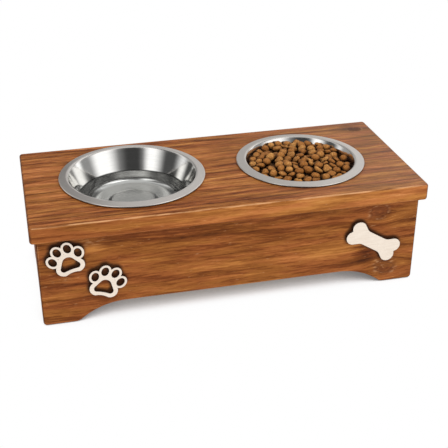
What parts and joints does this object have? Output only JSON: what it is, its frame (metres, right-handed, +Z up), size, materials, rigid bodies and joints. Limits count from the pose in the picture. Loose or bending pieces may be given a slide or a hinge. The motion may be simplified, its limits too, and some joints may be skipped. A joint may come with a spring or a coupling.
{
  "type": "elevated dog feeder",
  "caption": "Raised wooden pet feeder: an arched storage box with a lift-off top that holds a water bowl and a food bowl.",
  "frame": {"origin": "on the ground at the middle of the footprint of the whole feeder", "axes": "+X to the right along the length, seen from the front; +Y to the back; +Z up"},
  "size_m": [0.45, 0.2, 0.1306],
  "materials": {
    "stained_wood": "satin",
    "plain_wood": "matte",
    "plywood": "matte",
    "pale_plywood": "matte",
    "bowl_steel": "polished",
    "screw_steel": "satin",
    "water": "gloss",
    "dry_food": "matte"
  },
  "bodies": {
    "storage_box": {"front_panel": "stained_wood", "back_panel": "stained_wood", "left_end_panel": "stained_wood", "right_end_panel": "stained_wood", "front_cleat": "plain_wood", "back_cleat": "plain_wood", "front_left_block": "plain_wood", "front_right_block": "plain_wood", "back_left_block": "plain_wood", "back_right_block": "plain_wood", "floor_board": "plywood", "corner_screws": "screw_steel", "cleat_screws": "screw_steel", "left_paw_plaque": "pale_plywood", "right_paw_plaque": "pale_plywood", "bone_plaque": "pale_plywood"},
    "lift_off_top": {"top_board": "stained_wood", "left_batten": "plain_wood", "right_batten": "plain_wood", "batten_screws": "screw_steel"},
    "water_dish": {"water_bowl": "bowl_steel", "water": "water"},
    "food_dish": {"food_bowl": "bowl_steel", "dry_food": "dry_food"}
  },
  "joints": [
    {"name": "top_lift", "type": "slide", "parent": "storage_box", "child": "lift_off_top", "axis": [0, 0, 1], "range_m": [0, 0.12]},
    {"name": "water_bowl_lift", "type": "slide", "parent": "lift_off_top", "child": "water_dish", "axis": [0, 0, 1], "range_m": [0, 0.06]},
    {"name": "food_bowl_lift", "type": "slide", "parent": "lift_off_top", "child": "food_dish", "axis": [0, 0, 1], "range_m": [0, 0.06]}
  ]
}
